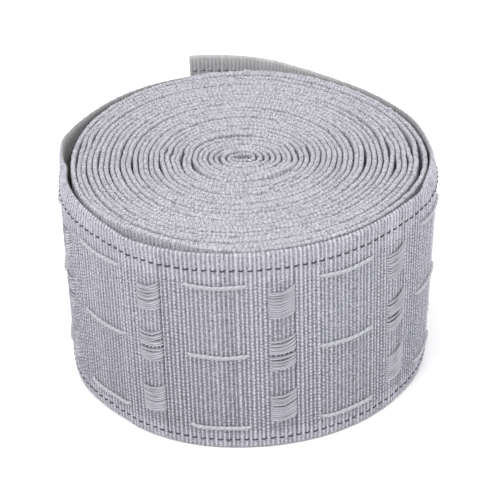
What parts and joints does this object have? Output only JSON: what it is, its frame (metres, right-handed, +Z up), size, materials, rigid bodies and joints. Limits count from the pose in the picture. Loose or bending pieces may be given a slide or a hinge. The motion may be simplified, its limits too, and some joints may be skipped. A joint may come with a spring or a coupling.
{
  "type": "roll_of_curtain_heading_tape",
  "caption": "Roll of grey-white woven curtain heading tape, wound on itself, with draw cords, pocket threads and a loose outer end.",
  "frame": {"origin": "middle of the outline of the whole roll seen from above, on the surface that it stands on", "axes": "+Z up along the winding's axis, -Y towards the viewer of the picture, +X to the viewer's right; the cut end stands off the roll at the back, on the -X side"},
  "size_m": [0.125, 0.1276, 0.0764],
  "materials": {
    "tape": "matt ribbed weave",
    "draw_cord": "matt twisted yarn",
    "guide_thread": "matt yarn"
  },
  "bodies": {
    "root": {"wound_roll": "tape", "loose_turn": "tape", "draw_cord_top_1": "draw_cord", "draw_cord_top_2": "draw_cord", "draw_cord_top_3": "draw_cord", "draw_cord_top_4": "draw_cord", "draw_cord_top_5": "draw_cord", "draw_cord_top_6": "draw_cord", "draw_cord_top_7": "draw_cord", "draw_cord_top_8": "draw_cord", "draw_cord_top_9": "draw_cord", "draw_cord_middle_1": "draw_cord", "draw_cord_middle_2": "draw_cord", "draw_cord_middle_3": "draw_cord", "draw_cord_middle_4": "draw_cord", "draw_cord_middle_5": "draw_cord", "draw_cord_middle_6": "draw_cord", "draw_cord_middle_7": "draw_cord", "draw_cord_middle_8": "draw_cord", "draw_cord_middle_9": "draw_cord", "draw_cord_bottom_1": "draw_cord", "draw_cord_bottom_2": "draw_cord", "draw_cord_bottom_3": "draw_cord", "draw_cord_bottom_4": "draw_cord", "draw_cord_bottom_5": "draw_cord", "draw_cord_bottom_6": "draw_cord", "draw_cord_bottom_7": "draw_cord", "draw_cord_bottom_8": "draw_cord", "draw_cord_bottom_9": "draw_cord"}
  },
  "joints": []
}
